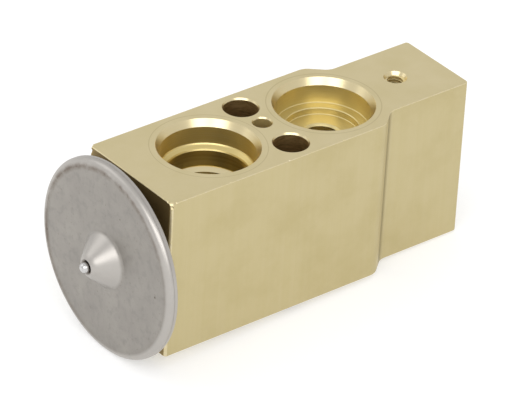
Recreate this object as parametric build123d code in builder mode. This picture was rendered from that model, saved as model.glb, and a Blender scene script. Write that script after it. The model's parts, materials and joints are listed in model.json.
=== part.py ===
from build123d import *
import os
from math import cos, isclose, radians, sin, sqrt, tan

# Block-type thermostatic expansion valve for a vehicle air conditioner.
# Frame: origin midway between the two clamp screw holes in the evaporator-side face,
# +X along the valve axis from the power head to the adjuster, +Z up to the line-side face.

# ---- Driving dimensions, millimetres ----

# extruded block
body_length = 77.2
body_height = 35.0
body_width = 26.0
tail_width = 19.1
suction_from_head_end = 18.95
suction_from_bolts = 14.15
liquid_from_bolts = 14.6
step_from_liquid_port = 7.3
step_slope = 40.0
step_radius = 3.3
corner_radius = 0.7
edge_break = 0.2

# line-side ports
port_radius = 9.5
port_mouth_chamfer = 0.85
port_mouth_depth = 1.45
suction_socket_depth = 4.1
suction_first_step = 0.15
suction_second_step_depth = 4.85
suction_second_step = 0.2
suction_cone_start = 5.45
suction_cone_end = 6.1
suction_neck_radius = 8.2
suction_neck_depth = 9.7
suction_way_radius = 6.9
liquid_socket_depth = 5.45
liquid_socket_corner = 0.12
liquid_well_radius = 7.45
liquid_well_depth = 6.95
liquid_well_break = 0.15
liquid_way_radius = 3.6
liquid_way_chamfer = 0.45

# evaporator-side ports
rear_mouth_chamfer = 0.5
inlet_socket_depth = 8.0
outlet_socket_depth = 6.9
outlet_way_radius = 2.2
outlet_way_overrun = 1.6

# clamp screw, locating and pipe-plate holes
clamp_hole_radius = 3.5
clamp_hole_wall = 1.6
clamp_hole_chamfer = 0.15
locating_hole_radius = 1.9
locating_hole_depth = 8.0
locating_hole_offset = 1.1
locating_hole_chamfer = 0.07
tapped_hole_radius = 2.0
tapped_hole_depth = 9.0
tapped_from_bolts = 33.0
tapped_hole_chamfer = 0.22
drill_point = 118.0

# power head
head_radius = 20.6
head_gap = 3.3
head_seam = 2.6
rim_roll = 1.5
rim_rear_round = 0.7
cover_sheet = 0.7
cover_recess = 0.45
housing_sheet = 0.9
housing_floor_radius = 14.0
housing_bend = 0.6
diaphragm_sheet = 0.12
diaphragm_inset = 0.35
dome_radius = 6.5
dome_height = 4.8
dome_slope = 46.0
dome_root_round = 0.8
charge_ball_radius = 1.1
charge_hole_radius = 0.9
neck_radius = 9.0
neck_length = 6.4
neck_bore_radius = 4.5
neck_chamfer = 0.6
head_seal_wire = 0.6

# diaphragm corrugations
corrugation_from_plate = 0.6
corrugation_from_seam = 1.5
corrugation_height = 0.24
corrugations = 3

# moving train
stroke = 0.8
stop_plate_radius = 9.0
stop_plate_recess_radius = 6.0
stop_plate_recess = 0.5
sensing_rod_radius = 2.0
rod_socket_depth = 1.3
rod_end_from_liquid_port = 11.75
push_pin_radius = 1.1
ball_radius = 2.5
orifice_radius = 1.7
seat_wall = 1.6
seat_before_liquid_port = 0.75
carrier_radius = 4.9
carrier_flange = 2.0
carrier_cup_depth = 1.0
carrier_stem_radius = 2.9
carrier_stem_length = 3.2
cup_angle = 45.0

# rod seal
rod_seal_wire = 0.75
seal_pocket_depth = 3.1
retainer_sheet = 0.5
retainer_slots = 6
retainer_slot_width = 0.7
retainer_slot_depth = 0.6

# damping clip
clip_sheet = 0.3
clip_legs = 6
clip_leg_width = 2.0
clip_leg_length = 4.0

# superheat spring
chamber_radius = 5.4
spring_wire = 0.6
spring_coil_radius = 3.75
spring_turns = 5.5

# adjuster
adjuster_thread_radius = 6.0
adjuster_thread_length = 5.6
adjuster_recess = 1.2
adjuster_travel = 1.0
adjuster_shoulder = 0.3
adjuster_nose_length = 5.4
adjuster_boss_length = 2.0
adjuster_seal_wire = 0.62
adjuster_land = 1.7
hex_across_flats = 5.0
hex_depth = 3.5
mouth_chamfer = 0.5

# fits
seat_gap = 0.02
running_gap = 0.05
nose_gap = 0.1
retainer_gap = 0.15
seal_float = 0.08
end_clearance = 0.2

# ---- Places worked out from the dimensions ----

suction_x = -suction_from_bolts
liquid_x = liquid_from_bolts
head_end = suction_x - suction_from_head_end
far_end = head_end + body_length
axis_height = body_height / 2
clamp_hole_spacing = body_width - 2 * (clamp_hole_radius + clamp_hole_wall)
step_mid = liquid_x + step_from_liquid_port
step_reach = (body_width - tail_width) / 4 / tan(radians(step_slope))

flange_rear = head_end - head_gap
diaphragm_rear = flange_rear - housing_sheet
diaphragm_front = diaphragm_rear - diaphragm_sheet
cover_inside = diaphragm_front - cover_recess
cover_face = cover_inside - cover_sheet
dome_tip = cover_face - dome_height
head_free_radius = head_radius - head_seam
corrugation_start = stop_plate_radius + corrugation_from_plate
corrugation_end = head_free_radius - corrugation_from_seam
corrugation_width = (corrugation_end - corrugation_start) / (2 * corrugations)
housing_rear = head_end - running_gap
housing_floor = housing_rear - housing_sheet
neck_end = head_end + neck_length

seat_x = liquid_x - seat_before_liquid_port
outlet_x = seat_x - seat_wall - outlet_way_radius
ball_x = seat_x + sqrt(ball_radius**2 - orifice_radius**2) + seat_gap
pocket_end = suction_x + suction_way_radius + seal_pocket_depth
pocket_radius = sensing_rod_radius + 2 * rod_seal_wire + running_gap
rod_end = liquid_x - rod_end_from_liquid_port
rod_bore_end = rod_end + stroke + end_clearance
plate_front = diaphragm_rear + seat_gap
plate_rear = housing_floor - stroke - seat_gap
rod_start = plate_rear - rod_socket_depth + seat_gap

carrier_front = ball_x + carrier_cup_depth
carrier_rear = carrier_front + carrier_flange
clip_rear = carrier_rear + seat_gap + clip_sheet
spring_start = clip_rear + seat_gap
adjuster_end = far_end - adjuster_recess
thread_start = adjuster_end - adjuster_thread_length
nose_rear = thread_start - adjuster_shoulder
nose_front = nose_rear - adjuster_nose_length
spring_length = nose_front - seat_gap - spring_start
groove_start = nose_front + adjuster_land
groove_width = 2 * adjuster_seal_wire + seal_float
groove_radius = chamber_radius - running_gap - 2 * adjuster_seal_wire
seal_corner = 2 * (head_seal_wire + seat_gap - running_gap) + sqrt(2) * (head_seal_wire + seat_gap)
thread_bore_start = nose_rear - adjuster_travel - end_clearance
nose_radius = chamber_radius - nose_gap

valve_axis = Axis((0, 0, axis_height), (1, 0, 0))
valve_plane = Plane(origin=(0, 0, axis_height), x_dir=(1, 0, 0), z_dir=(0, -1, 0))


def across(x):
    """Plane square to the valve axis at x, its normal along +X."""
    return Plane(origin=(x, 0, axis_height), x_dir=(0, 1, 0), z_dir=(1, 0, 0))


def upright_axis(x, y=0):
    """Vertical axis of a port or hole."""
    return Axis((x, y, 0), (0, 0, 1))


def circles(piece, radius):
    """Circular edges of a piece that have the given radius, in order along X."""
    round_edges = piece.edges().filter_by(GeomType.CIRCLE)
    return round_edges.filter_by(lambda edge: isclose(edge.radius, radius)).sort_by(Axis.X)


def ring_seal(x, inner_radius, wire):
    """O-ring on the valve axis, centred at x."""
    with BuildPart() as ring:
        with BuildSketch(valve_plane):
            with Locations((x, inner_radius + wire)):
                Circle(wire)
        revolve(axis=valve_axis)
    return ring.part


os.makedirs("parts", exist_ok=True)

# ---- Valve body: extruded block, machined from six sides ----

half_width = body_width / 2
half_tail = tail_width / 2

with BuildPart() as valve_body:
    with BuildSketch():
        with BuildLine():
            Polyline(
                (head_end, 0),
                (head_end, half_width),
                (step_mid - step_reach, half_width),
                (step_mid + step_reach, half_tail),
                (far_end, half_tail),
                (far_end, 0),
            )
            mirror(about=Plane.XZ)
        make_face()
    extrude(amount=body_height)
    head_corners, wide_steps, narrow_steps, far_corners = (
        valve_body.edges().filter_by(Axis.Z).group_by(Axis.X)
    )
    fillet(head_corners + far_corners, corner_radius)
    fillet(wide_steps + narrow_steps, step_radius)
    chamfer(valve_body.faces().filter_by(Axis.Z).edges(), edge_break)

    # suction way: stepped socket above, plain socket below, straight through between
    with BuildSketch(Plane.XZ):
        with BuildLine():
            top = body_height
            socket_wall = suction_x + port_radius
            step_wall = socket_wall - suction_first_step
            cone_top = step_wall - suction_second_step
            Polyline(
                (suction_x, top),
                (socket_wall + port_mouth_chamfer, top),
                (socket_wall, top - port_mouth_depth),
                (socket_wall, top - suction_socket_depth),
                (step_wall, top - suction_socket_depth - suction_first_step),
                (step_wall, top - suction_second_step_depth),
                (cone_top, top - suction_second_step_depth - suction_second_step),
                (cone_top, top - suction_cone_start),
                (suction_x + suction_neck_radius, top - suction_cone_end),
                (suction_x + suction_neck_radius, top - suction_neck_depth),
                (suction_x + suction_way_radius, top - suction_neck_depth),
                (suction_x + suction_way_radius, inlet_socket_depth),
                (suction_x + port_radius, inlet_socket_depth),
                (suction_x + port_radius, rear_mouth_chamfer),
                (suction_x + port_radius + rear_mouth_chamfer, 0),
                (suction_x, 0),
                close=True,
            )
        make_face()
    revolve(axis=upright_axis(suction_x), mode=Mode.SUBTRACT)

    # liquid inlet: stepped socket and a drilled way down to the spring chamber
    with BuildSketch(Plane.XZ):
        with BuildLine():
            way_end = axis_height + orifice_radius + seat_wall
            ledge = top - liquid_socket_depth
            floor = top - liquid_well_depth
            Polyline(
                (liquid_x, top),
                (liquid_x + port_radius + port_mouth_chamfer, top),
                (liquid_x + port_radius, top - port_mouth_depth),
                (liquid_x + port_radius, ledge + liquid_socket_corner),
                (liquid_x + port_radius - liquid_socket_corner, ledge),
                (liquid_x + liquid_well_radius + liquid_well_break, ledge),
                (liquid_x + liquid_well_radius, ledge - liquid_well_break),
                (liquid_x + liquid_well_radius, floor + liquid_socket_corner),
                (liquid_x + liquid_well_radius - liquid_socket_corner, floor),
                (liquid_x + liquid_way_radius + liquid_way_chamfer, floor),
                (liquid_x + liquid_way_radius, floor - liquid_way_chamfer),
                (liquid_x + liquid_way_radius, way_end),
                (liquid_x, way_end),
                close=True,
            )
        make_face()
    revolve(axis=upright_axis(liquid_x), mode=Mode.SUBTRACT)

    # liquid outlet: plain socket below, with its way up to the low side of the seat
    with BuildSketch(Plane.XZ):
        with BuildLine():
            Polyline(
                (liquid_x, 0),
                (liquid_x + port_radius + rear_mouth_chamfer, 0),
                (liquid_x + port_radius, rear_mouth_chamfer),
                (liquid_x + port_radius, outlet_socket_depth),
                (liquid_x, outlet_socket_depth),
                close=True,
            )
        make_face()
    revolve(axis=upright_axis(liquid_x), mode=Mode.SUBTRACT)
    with BuildSketch(Plane.XY.offset(outlet_socket_depth)):
        with Locations((outlet_x, 0)):
            Circle(outlet_way_radius)
    extrude(amount=axis_height + outlet_way_overrun - outlet_socket_depth, mode=Mode.SUBTRACT)

    # bores along the valve axis, from the head end to the adjuster mouth
    with BuildSketch(valve_plane):
        with BuildLine():
            Polyline(
                (head_end, 0),
                (head_end, neck_radius + seal_corner),
                (head_end + seal_corner, neck_radius),
                (neck_end + neck_chamfer, neck_radius),
                (neck_end + neck_chamfer, neck_bore_radius),
                (suction_x, neck_bore_radius),
                (suction_x, 0),
                close=True,
            )
        make_face()
        with BuildLine():
            Polyline(
                (suction_x, 0),
                (suction_x, pocket_radius),
                (pocket_end, pocket_radius),
                (pocket_end, sensing_rod_radius + running_gap),
                (rod_bore_end, sensing_rod_radius + running_gap),
                (rod_bore_end, push_pin_radius + running_gap),
                (outlet_x, push_pin_radius + running_gap),
                (outlet_x, orifice_radius),
                (seat_x, orifice_radius),
                (seat_x, chamber_radius),
                (thread_bore_start, chamber_radius),
                (thread_bore_start, adjuster_thread_radius),
                (far_end - mouth_chamfer, adjuster_thread_radius),
                (far_end, adjuster_thread_radius + mouth_chamfer),
                (far_end, 0),
                close=True,
            )
        make_face()
    revolve(axis=valve_axis, mode=Mode.SUBTRACT)

    # two through holes for the screws that clamp the pipe plates
    with Locations((0, clamp_hole_spacing / 2, top), (0, -clamp_hole_spacing / 2, top)):
        Hole(clamp_hole_radius)
    chamfer(circles(valve_body, clamp_hole_radius), clamp_hole_chamfer)

    # blind locating hole and tapped hole, both with a drill point
    for x, y, radius, depth, break_size in (
        (0, locating_hole_offset, locating_hole_radius, locating_hole_depth, locating_hole_chamfer),
        (tapped_from_bolts, 0, tapped_hole_radius, tapped_hole_depth, tapped_hole_chamfer),
    ):
        point = radius / tan(radians(drill_point / 2))
        with BuildSketch(Plane.XZ.offset(-y)):
            with BuildLine():
                Polyline(
                    (x, top),
                    (x + radius + break_size, top),
                    (x + radius, top - break_size),
                    (x + radius, top - depth),
                    (x, top - depth - point),
                    close=True,
                )
            make_face()
        revolve(axis=upright_axis(x, y), mode=Mode.SUBTRACT)

valve_body.part.label = "valve_body"
export_step(valve_body.part, "parts/valve_body.step")

# ---- Power head cover: pressed sheet with a rolled rim and a central dome ----

quarter_turn = 90

cap_radius = (dome_height - dome_radius * tan(radians(dome_slope))) / (
    tan(radians(dome_slope / 2)) - tan(radians(dome_slope))
)
cap_sphere = cap_radius / sin(radians(dome_slope))
cap_start = cover_face - (dome_radius - cap_radius) * tan(radians(dome_slope))
sphere_x = dome_tip + cap_sphere
inner_sphere = cap_sphere - cover_sheet
inner_cap = inner_sphere * sin(radians(dome_slope))
inner_dome_radius = dome_radius - cover_sheet * tan(radians(dome_slope / 2))
ball_ring_front = sphere_x - sqrt(cap_sphere**2 - (charge_hole_radius + cover_sheet) ** 2)
ball_ring_rear = sphere_x - sqrt(inner_sphere**2 - charge_hole_radius**2)
mid_outer = (cap_radius + charge_hole_radius + cover_sheet) / 2
mid_inner = (inner_cap + charge_hole_radius) / 2

with BuildPart() as head_cover:
    with BuildSketch(valve_plane):
        with BuildLine():
            EllipticalCenterArc(
                (diaphragm_front, head_radius - rim_roll),
                diaphragm_front - cover_face,
                rim_roll,
                start_angle=quarter_turn,
                arc_size=quarter_turn,
            )
            Polyline(
                (cover_face, head_radius - rim_roll),
                (cover_face, dome_radius),
                (cap_start, cap_radius),
            )
            ThreePointArc(
                (cap_start, cap_radius),
                (sphere_x - sqrt(cap_sphere**2 - mid_outer**2), mid_outer),
                (ball_ring_front, charge_hole_radius + cover_sheet),
            )
            Line(
                (ball_ring_front, charge_hole_radius + cover_sheet),
                (ball_ring_rear, charge_hole_radius),
            )
            ThreePointArc(
                (ball_ring_rear, charge_hole_radius),
                (sphere_x - sqrt(inner_sphere**2 - mid_inner**2), mid_inner),
                (sphere_x - inner_sphere * cos(radians(dome_slope)), inner_cap),
            )
            Polyline(
                (sphere_x - inner_sphere * cos(radians(dome_slope)), inner_cap),
                (cover_inside, inner_dome_radius),
                (cover_inside, head_free_radius - cover_recess),
                (diaphragm_front, head_free_radius),
                (diaphragm_front, head_radius),
            )
        make_face()
    revolve(axis=valve_axis)
    fillet(circles(head_cover, dome_radius), dome_root_round)
    fillet(circles(head_cover, inner_dome_radius), dome_root_round + cover_sheet)

head_cover.part.label = "head_cover"
export_step(head_cover.part, "parts/head_cover.step")

# ---- Charge ball: welded into the fill hole of the dome ----

charge_ball_x = ball_ring_rear - sqrt(charge_ball_radius**2 - charge_hole_radius**2) - seat_gap

with BuildPart() as charge_ball:
    with Locations((charge_ball_x, 0, axis_height)):
        Sphere(charge_ball_radius)

charge_ball.part.label = "charge_ball"
export_step(charge_ball.part, "parts/charge_ball.step")

# ---- Diaphragm: thin corrugated disc clamped in the rim seam ----


def corrugated_face(face_x):
    """Outline of one face of the diaphragm, from its centre out to its edge."""
    crests = [
        (
            face_x + (-1) ** index * corrugation_height,
            corrugation_start + (index + 0.5) * corrugation_width,
        )
        for index in range(2 * corrugations)
    ]
    return [
        (face_x, 0),
        (face_x, corrugation_start),
        *crests,
        (face_x, corrugation_end),
        (face_x, head_radius - diaphragm_inset),
    ]


with BuildPart() as diaphragm:
    with BuildSketch(valve_plane):
        with BuildLine():
            front_face = corrugated_face(diaphragm_front)
            rear_face = corrugated_face(diaphragm_rear)
            Polyline(*front_face, *reversed(rear_face), close=True)
        make_face()
    revolve(axis=valve_axis)

diaphragm.part.label = "diaphragm"
export_step(diaphragm.part, "parts/diaphragm.step")

# ---- Power head housing: lower dish with the threaded neck ----

dish_radius = head_free_radius + housing_sheet
inner_floor_radius = housing_floor_radius - housing_sheet

with BuildPart() as head_housing:
    with BuildSketch(valve_plane):
        with BuildLine():
            Polyline(
                (diaphragm_rear, head_radius),
                (flange_rear, head_radius),
                (flange_rear, dish_radius),
                (housing_rear, housing_floor_radius),
                (housing_rear, neck_radius - running_gap),
                (neck_end - neck_chamfer, neck_radius - running_gap),
                (neck_end, neck_radius - running_gap - neck_chamfer),
                (neck_end, neck_bore_radius),
                (housing_floor, neck_bore_radius),
                (housing_floor, inner_floor_radius),
                (diaphragm_rear, head_free_radius),
                close=True,
            )
        make_face()
    revolve(axis=valve_axis)
    fillet(circles(head_housing, head_radius)[-1], rim_rear_round)
    fillet(circles(head_housing, dish_radius), housing_bend)
    fillet(circles(head_housing, housing_floor_radius), housing_bend)

head_housing.part.label = "head_housing"
export_step(head_housing.part, "parts/head_housing.step")

# ---- Head seal: O-ring at the root of the neck ----

head_seal = ring_seal(
    housing_rear + head_seal_wire + seat_gap, neck_radius - running_gap + seat_gap, head_seal_wire
)
head_seal.label = "head_seal"
export_step(head_seal, "parts/head_seal.step")

# ---- Stop plate: carries the diaphragm and sits on the sensing rod ----

with BuildPart() as stop_plate:
    with BuildSketch(across(plate_front)):
        Circle(stop_plate_radius)
    extrude(amount=plate_rear - plate_front)
    with BuildSketch(across(plate_front)):
        Circle(stop_plate_recess_radius)
    extrude(amount=stop_plate_recess, mode=Mode.SUBTRACT)
    with BuildSketch(across(plate_rear)):
        Circle(sensing_rod_radius + seat_gap)
    extrude(amount=-rod_socket_depth, mode=Mode.SUBTRACT)
    chamfer(stop_plate.faces().sort_by(Axis.X)[0].outer_wire().edges(), stop_plate_recess / 2)

stop_plate.part.label = "stop_plate"
export_step(stop_plate.part, "parts/stop_plate.step")

# ---- Sensing rod: crosses the suction way and turns vapour heat into stroke ----

with BuildPart() as sensing_rod:
    with BuildSketch(across(rod_start)):
        Circle(sensing_rod_radius)
    extrude(amount=rod_end - rod_start)
    chamfer(sensing_rod.faces().filter_by(Axis.X).edges(), edge_break)

sensing_rod.part.label = "sensing_rod"
export_step(sensing_rod.part, "parts/sensing_rod.step")

# ---- Rod seal and the slotted washer that keeps it in its pocket ----

rod_seal_x = pocket_end - rod_seal_wire - seat_gap
rod_seal = ring_seal(rod_seal_x, sensing_rod_radius + seat_gap, rod_seal_wire)
rod_seal.label = "rod_seal"
export_step(rod_seal, "parts/rod_seal.step")

retainer_rear = rod_seal_x - rod_seal_wire - seat_gap
retainer_bore = sensing_rod_radius + retainer_gap

with BuildPart() as seal_retainer:
    with BuildSketch(across(retainer_rear)):
        Circle(pocket_radius - seat_gap)
        Circle(retainer_bore, mode=Mode.SUBTRACT)
        with PolarLocations(retainer_bore, retainer_slots):
            Rectangle(2 * retainer_slot_depth, retainer_slot_width, mode=Mode.SUBTRACT)
    extrude(amount=-retainer_sheet)

seal_retainer.part.label = "seal_retainer"
export_step(seal_retainer.part, "parts/seal_retainer.step")

# ---- Push pin: passes the orifice and lifts the ball ----

pin_start = rod_end + seat_gap
pin_end = ball_x - ball_radius - seat_gap

with BuildPart() as push_pin:
    with BuildSketch(across(pin_start)):
        Circle(push_pin_radius)
    extrude(amount=pin_end - pin_start)
    chamfer(push_pin.faces().filter_by(Axis.X).edges(), edge_break)

push_pin.part.label = "push_pin"
export_step(push_pin.part, "parts/push_pin.step")

# ---- Valve ball ----

with BuildPart() as valve_ball:
    with Locations((ball_x, 0, axis_height)):
        Sphere(ball_radius)

valve_ball.part.label = "valve_ball"
export_step(valve_ball.part, "parts/valve_ball.step")

# ---- Ball carrier: conical cup, guide flange and spring stem ----

cup_apex = ball_x + (ball_radius + seat_gap) / sin(radians(cup_angle))
cup_mouth = (cup_apex - carrier_front) * tan(radians(cup_angle))

with BuildPart() as ball_carrier:
    with BuildSketch(valve_plane):
        with BuildLine():
            Polyline(
                (carrier_front, cup_mouth),
                (carrier_front, carrier_radius),
                (carrier_rear, carrier_radius),
                (carrier_rear, carrier_stem_radius),
                (carrier_rear + carrier_stem_length, carrier_stem_radius),
                (carrier_rear + carrier_stem_length, 0),
                (cup_apex, 0),
                close=True,
            )
        make_face()
    revolve(axis=valve_axis)
    chamfer(ball_carrier.faces().sort_by(Axis.X)[-1].edges(), edge_break)

ball_carrier.part.label = "ball_carrier"
export_step(ball_carrier.part, "parts/ball_carrier.step")

# ---- Damping clip: washer with legs that rub on the chamber wall ----

clip_outer = chamber_radius - running_gap

with BuildPart() as damping_clip:
    with BuildSketch(across(clip_rear - clip_sheet)):
        Circle(clip_outer)
        Circle(carrier_stem_radius + running_gap, mode=Mode.SUBTRACT)
    extrude(amount=clip_sheet)
    with BuildSketch(across(clip_rear - clip_sheet)):
        with PolarLocations(clip_outer - clip_sheet, clip_legs):
            Rectangle(4 * clip_sheet, clip_leg_width)
        Circle(clip_outer, mode=Mode.INTERSECT)
        Circle(clip_outer - clip_sheet, mode=Mode.SUBTRACT)
    extrude(amount=clip_leg_length)

damping_clip.part.label = "damping_clip"
export_step(damping_clip.part, "parts/damping_clip.step")

# ---- Superheat spring: helical, ground flat at both ends ----

with BuildPart() as superheat_spring:
    with BuildLine() as coil:
        Helix(
            pitch=(spring_length + 2 * spring_wire) / (spring_turns + 1),
            height=spring_length + 2 * spring_wire,
            radius=spring_coil_radius,
            center=(spring_start - spring_wire, 0, axis_height),
            direction=(1, 0, 0),
        )
    with BuildSketch(Plane(origin=coil.line @ 0, z_dir=coil.line % 0)):
        Circle(spring_wire)
    sweep(is_frenet=True)
    with BuildSketch(across(spring_start)):
        Circle(spring_coil_radius + 2 * spring_wire)
    extrude(amount=spring_length, mode=Mode.INTERSECT)

superheat_spring.part.label = "superheat_spring"
export_step(superheat_spring.part, "parts/superheat_spring.step")

# ---- Adjuster screw: sealed nose, thread and hexagon socket ----

with BuildPart() as adjuster_screw:
    with BuildSketch(valve_plane):
        with BuildLine():
            Polyline(
                (nose_front - adjuster_boss_length, 0),
                (nose_front - adjuster_boss_length, carrier_stem_radius),
                (nose_front, carrier_stem_radius),
                (nose_front, nose_radius),
                (groove_start, nose_radius),
                (groove_start, groove_radius),
                (groove_start + groove_width, groove_radius),
                (groove_start + groove_width, nose_radius),
                (nose_rear, nose_radius),
                (thread_start, adjuster_thread_radius - running_gap),
                (adjuster_end - edge_break, adjuster_thread_radius - running_gap),
                (adjuster_end, adjuster_thread_radius - running_gap - edge_break),
                (adjuster_end, 0),
                close=True,
            )
        make_face()
    revolve(axis=valve_axis)
    with BuildSketch(across(adjuster_end)):
        RegularPolygon(hex_across_flats / 2, 6, major_radius=False)
    extrude(amount=-hex_depth, mode=Mode.SUBTRACT)

adjuster_screw.part.label = "adjuster_screw"
export_step(adjuster_screw.part, "parts/adjuster_screw.step")

# ---- Adjuster seal: O-ring in the groove of the screw ----

adjuster_seal = ring_seal(
    groove_start + groove_width / 2, groove_radius + seat_gap, adjuster_seal_wire
)
adjuster_seal.label = "adjuster_seal"
export_step(adjuster_seal, "parts/adjuster_seal.step")
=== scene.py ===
import json
import bpy
import bmesh
import numpy as np
from mathutils import Matrix, Vector


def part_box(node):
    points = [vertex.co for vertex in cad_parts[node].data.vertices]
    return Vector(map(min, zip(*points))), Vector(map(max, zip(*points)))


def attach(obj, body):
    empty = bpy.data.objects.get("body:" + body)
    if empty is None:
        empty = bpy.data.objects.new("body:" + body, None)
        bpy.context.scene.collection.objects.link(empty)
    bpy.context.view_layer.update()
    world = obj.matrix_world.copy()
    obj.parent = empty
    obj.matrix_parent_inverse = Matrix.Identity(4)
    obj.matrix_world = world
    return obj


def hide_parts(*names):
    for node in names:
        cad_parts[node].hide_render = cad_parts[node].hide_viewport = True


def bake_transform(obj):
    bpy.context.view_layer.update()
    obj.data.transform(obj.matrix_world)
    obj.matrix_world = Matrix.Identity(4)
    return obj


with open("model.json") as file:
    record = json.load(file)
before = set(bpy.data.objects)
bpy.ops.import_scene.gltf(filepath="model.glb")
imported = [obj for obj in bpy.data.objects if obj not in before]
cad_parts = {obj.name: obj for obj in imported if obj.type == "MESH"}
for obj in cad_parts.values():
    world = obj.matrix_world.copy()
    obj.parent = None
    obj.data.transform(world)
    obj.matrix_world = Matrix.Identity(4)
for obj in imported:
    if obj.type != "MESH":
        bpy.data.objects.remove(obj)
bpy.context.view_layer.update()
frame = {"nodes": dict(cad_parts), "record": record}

# Thermostatic expansion valve, dressed. Shapes are worked out in millimetres in the
# frame's own axes and turned into metres when a mesh is written.
MM = 0.001
MOUNTS = {mount["name"]: mount for mount in frame["record"]["mounts"]}
ALONG = np.array([1.0, 0.0, 0.0])
UPRIGHT = np.array([0.0, 0.0, 1.0])

# ---------------------------------------------------------------- sizes


def box_mm(node):
    """Lowest and highest corner of a node, in millimetres."""
    low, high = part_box(node)
    return np.array(low) / MM, np.array(high) / MM


def hole(name):
    """Place of a hole's axis in plan and its radius, in millimetres."""
    mount = MOUNTS[name]
    return mount["pos_m"][0] / MM, mount["pos_m"][1] / MM, mount["dims"]["r_mm"]


BODY_LOW, BODY_HIGH = box_mm("valve_body")
HEAD_END, FAR_END = BODY_LOW[0], BODY_HIGH[0]
HALF_WIDTH = BODY_HIGH[1]
TOP = BODY_HIGH[2]
AXIS_Z = TOP / 2
VALVE_AXIS = np.array([0.0, 0.0, AXIS_Z])
SUCTION_X, PORT_R = hole("suction_outlet")[0], hole("suction_outlet")[2]
LIQUID_X = hole("liquid_inlet")[0]

# plan of the block
HALF_TAIL = 9.55
STEP_MID = LIQUID_X + 7.3
STEP_SLOPE = np.radians(40.0)
STEP_R = 3.3
# painted shade on the S step: how far past STEP_MID its band peaks, and its half width
STEP_SHADE_OFFSET = 0.9
STEP_SHADE_WIDTH = 1.4
STEP_FROM_END = (STEP_MID - HEAD_END) * MM
CORNER_R = 0.7
EDGE_R = 0.22

# line-side ports
MOUTH_CHAMFER = 0.85
MOUTH_DEPTH = 1.45
SUCTION_SOCKET = 4.2
SUCTION_STEP = (0.10, 5.05)
SUCTION_LAND = (0.27, 5.3)
SUCTION_LIP = (1.05, 5.85)
SUCTION_NECK_R = 8.3
SUCTION_LIP_DEPTH = 6.15
SUCTION_NECK_DEPTH = 9.7
SUCTION_SEAT_INSET = 0.15
SUCTION_SEAT_DEPTH = 0.7
SUCTION_WAY_R = 7.25
LIQUID_SOCKET = 5.45
LIQUID_CORNER = 0.12
LIQUID_WELL_R = 7.45
LIQUID_WELL_DEPTH = 6.95
LIQUID_WELL_BREAK = 0.15
LIQUID_WAY_R = 3.6
LIQUID_WAY_CHAMFER = 0.45

# evaporator-side ports and the way up to the valve seat
REAR_CHAMFER = 0.5
INLET_SOCKET = 8.0
OUTLET_SOCKET = 6.9
OUTLET_WAY_R = 2.2
OUTLET_WAY_X = LIQUID_X - 4.55
OUTLET_WAY_TOP = AXIS_Z + 1.6

# screw holes
CLAMP_R = MOUNTS["clamp_screw_holes"]["dims"]["hole_r_mm"]
CLAMP_Y = MOUNTS["clamp_screw_holes"]["dims"]["spacing_y_mm"] / 2
CLAMP_CHAMFER = 0.22
CLAMP_BREAK = 0.38
LOCATING_DEPTH = 8.0
LOCATING_CHAMFER = 0.18
LOCATING_BREAK = 0.3
TAPPED_DEPTH = 9.0
TAPPED_LEAD = 0.4
TAPPED_BREAK = 0.6
TAPPED_PITCH = 0.7
THREAD_DEPTH_SHARE = 0.54
DRILL_HALF_POINT = np.radians(59.0)

# bores along the valve axis
NECK_R = 9.0
SEAL_CORNER = 1.97
NECK_BORE_R = 4.5
NECK_BORE_END = HEAD_END + 7.0
ROD_POCKET_R = 3.55
ROD_POCKET_END = SUCTION_X + 10.0
ROD_BORE_R = 2.05
ROD_BORE_END = LIQUID_X - 10.75
PIN_BORE_R = 1.15
ORIFICE_R = 1.7
SEAT_X = LIQUID_X - 0.75
CHAMBER_R = 5.4
SCREW_LOW, SCREW_HIGH = box_mm("adjuster_screw")
SCREW_THREAD_R = SCREW_HIGH[1]
SCREW_THREAD_LENGTH = 5.6
SCREW_PITCH = 1.0
SCREW_BORE_R = 6.0
SCREW_RUN_IN = 2.1
SCREW_NOSE_R = 5.3
SCREW_BOSS_R = 2.9
SCREW_BOSS_LENGTH = 2.0
SCREW_LAND = 1.7
SCREW_GROOVE_R = 4.11
SCREW_GROOVE_WIDTH = 1.32
SCREW_RELIEF = 0.3
SCREW_LEAD = 0.65
SCREW_BREAK = 0.2
SCREW_KEY = 5.0
SCREW_KEY_DEPTH = 3.5
THREAD_ROOT_OVERLAP = 0.02
SCREW_BORE_START = SCREW_HIGH[0] - SCREW_THREAD_LENGTH - SCREW_RUN_IN
SCREW_MOUTH = 0.5
THREAD_GAP = SCREW_BORE_R - SCREW_THREAD_R

# power head
COVER_LOW, COVER_HIGH = box_mm("head_cover")
HOUSING_LOW, HOUSING_HIGH = box_mm("head_housing")
HEAD_R = COVER_HIGH[1]
COVER_SHEET = 0.7
COVER_RECESS = 0.45
COVER_FACE = COVER_HIGH[0] - COVER_SHEET - COVER_RECESS
RIM_ROLL = 1.5
REAR_ROUND = 0.7
SEAM_WIDTH = 2.6
DOME_R = 6.0
DOME_SLOPE = np.radians(48.0)
DOME_HEIGHT = 4.8
DOME_ROOT_ROUND = 1.2
WELD_DEPTH = 0.3
WELD_GROOVE = 0.04
BALL_LOW, BALL_HIGH = box_mm("charge_ball")
BALL_R = (BALL_HIGH[0] - BALL_LOW[0]) / 2
BALL_SEAT_R = 0.9
HOUSING_SHEET = 0.9
HOUSING_FLOOR_R = 14.0
HOUSING_REAR = HEAD_END - 0.05
NECK_WALL_R = NECK_R - 0.05
NECK_CHAMFER = 0.6

# superheat spring
SPRING_LOW, SPRING_HIGH = box_mm("superheat_spring")
SPRING_WIRE = 0.6
SPRING_COIL_R = 3.75
SPRING_TURNS = 6.5

# ---------------------------------------------------------------- mesh tools


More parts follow.
